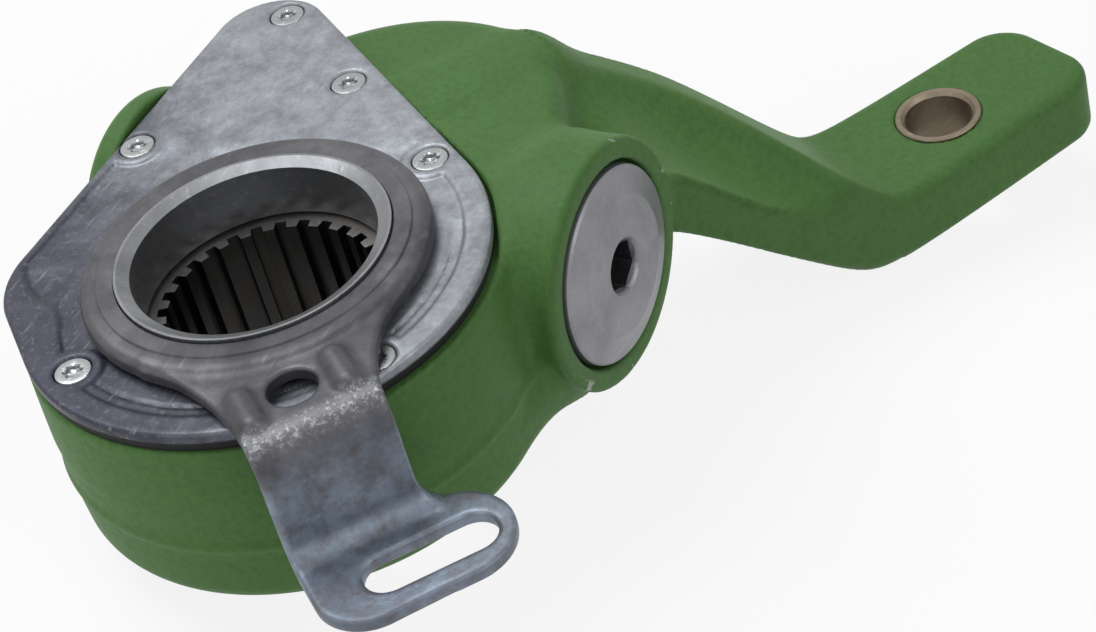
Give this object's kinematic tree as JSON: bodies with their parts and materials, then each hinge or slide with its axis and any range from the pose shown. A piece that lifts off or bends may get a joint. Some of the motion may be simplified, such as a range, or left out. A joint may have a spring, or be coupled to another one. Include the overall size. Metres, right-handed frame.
{
  "type": "brake slack adjuster",
  "caption": "Automatic brake slack adjuster: cranked lever with a bushed clevis hole, splined worm wheel, covered rack and clutch drive, and a slotted control arm.",
  "frame": {"origin": "on the camshaft bore axis, level with the cover's outer face", "axes": "+Z along the camshaft bore out of the cover, +Y along the worm from the screw cap to the hexagon, +X from the bore to the worm"},
  "size_m": [0.2223, 0.1529, 0.079],
  "materials": {
    "painted_casting": "semi-gloss paint on a cast skin",
    "bronze": "turned",
    "zinc_cover": "zinc plated, cloudy",
    "zinc_screws": "bright zinc",
    "turned_cap": "turned face, dull",
    "arm_steel": "pressed and zinc plated, scuffed at the bends",
    "hub_steel": "turned",
    "oiled_steel": "cut teeth, oiled",
    "spring_steel": "oil tempered wire",
    "black_rubber": "moulded"
  },
  "bodies": {
    "housing": {"housing": "painted_casting", "clevis_bush": "bronze", "wheel_guide_ring": "oiled_steel", "wheel_seal": "black_rubber", "worm_end_seal": "black_rubber", "light_spring": "spring_steel", "bearing_balls": "oiled_steel", "spring_side_race": "oiled_steel", "spring_seat": "oiled_steel", "main_spring": "spring_steel", "screw_cap": "turned_cap", "cap_o_ring": "black_rubber", "cover_gasket": "black_rubber", "cover_plate": "zinc_cover", "cover_screws": "zinc_screws"},
    "worm_wheel": {"worm_wheel": "oiled_steel"},
    "worm": {"worm_shaft": "oiled_steel", "clutch_ring": "oiled_steel", "one_way_spring": "spring_steel", "worm_side_race": "oiled_steel"},
    "control_arm": {"control_hub": "hub_steel", "hub_seal": "black_rubber", "control_arm": "arm_steel"},
    "rack": {"rack": "oiled_steel"},
    "gear_wheel": {"gear_wheel": "oiled_steel"}
  },
  "joints": [
    {"name": "worm_wheel_turn", "type": "hinge", "parent": "housing", "child": "worm_wheel", "pos_m": [0, 0, -0.0205], "axis": [0, 0, 1], "continuous": true},
    {"name": "worm_turn", "type": "hinge", "parent": "housing", "child": "worm", "pos_m": [0.035, 0, -0.0205], "axis": [0, 1, 0], "continuous": true},
    {"name": "control_arm_swing", "type": "hinge", "parent": "housing", "child": "control_arm", "pos_m": [0, 0, 0], "axis": [0, 0, 1], "range_deg": [-10, 25]},
    {"name": "rack_slide", "type": "slide", "parent": "housing", "child": "rack", "axis": [1, 0, 0], "range_m": [-0.014, 0.0057]},
    {"name": "gear_wheel_turn", "type": "hinge", "parent": "housing", "child": "gear_wheel", "pos_m": [0.035, 0.036, -0.0205], "axis": [0, 1, 0], "range_deg": [-77, 31]}
  ],
  "couplings": [
    {"joint": "worm_turn", "follows": "worm_wheel_turn", "ratio": -26},
    {"joint": "rack_slide", "follows": "control_arm_swing", "m_per_rad": -0.032},
    {"joint": "gear_wheel_turn", "follows": "control_arm_swing", "ratio": -3.0476}
  ]
}
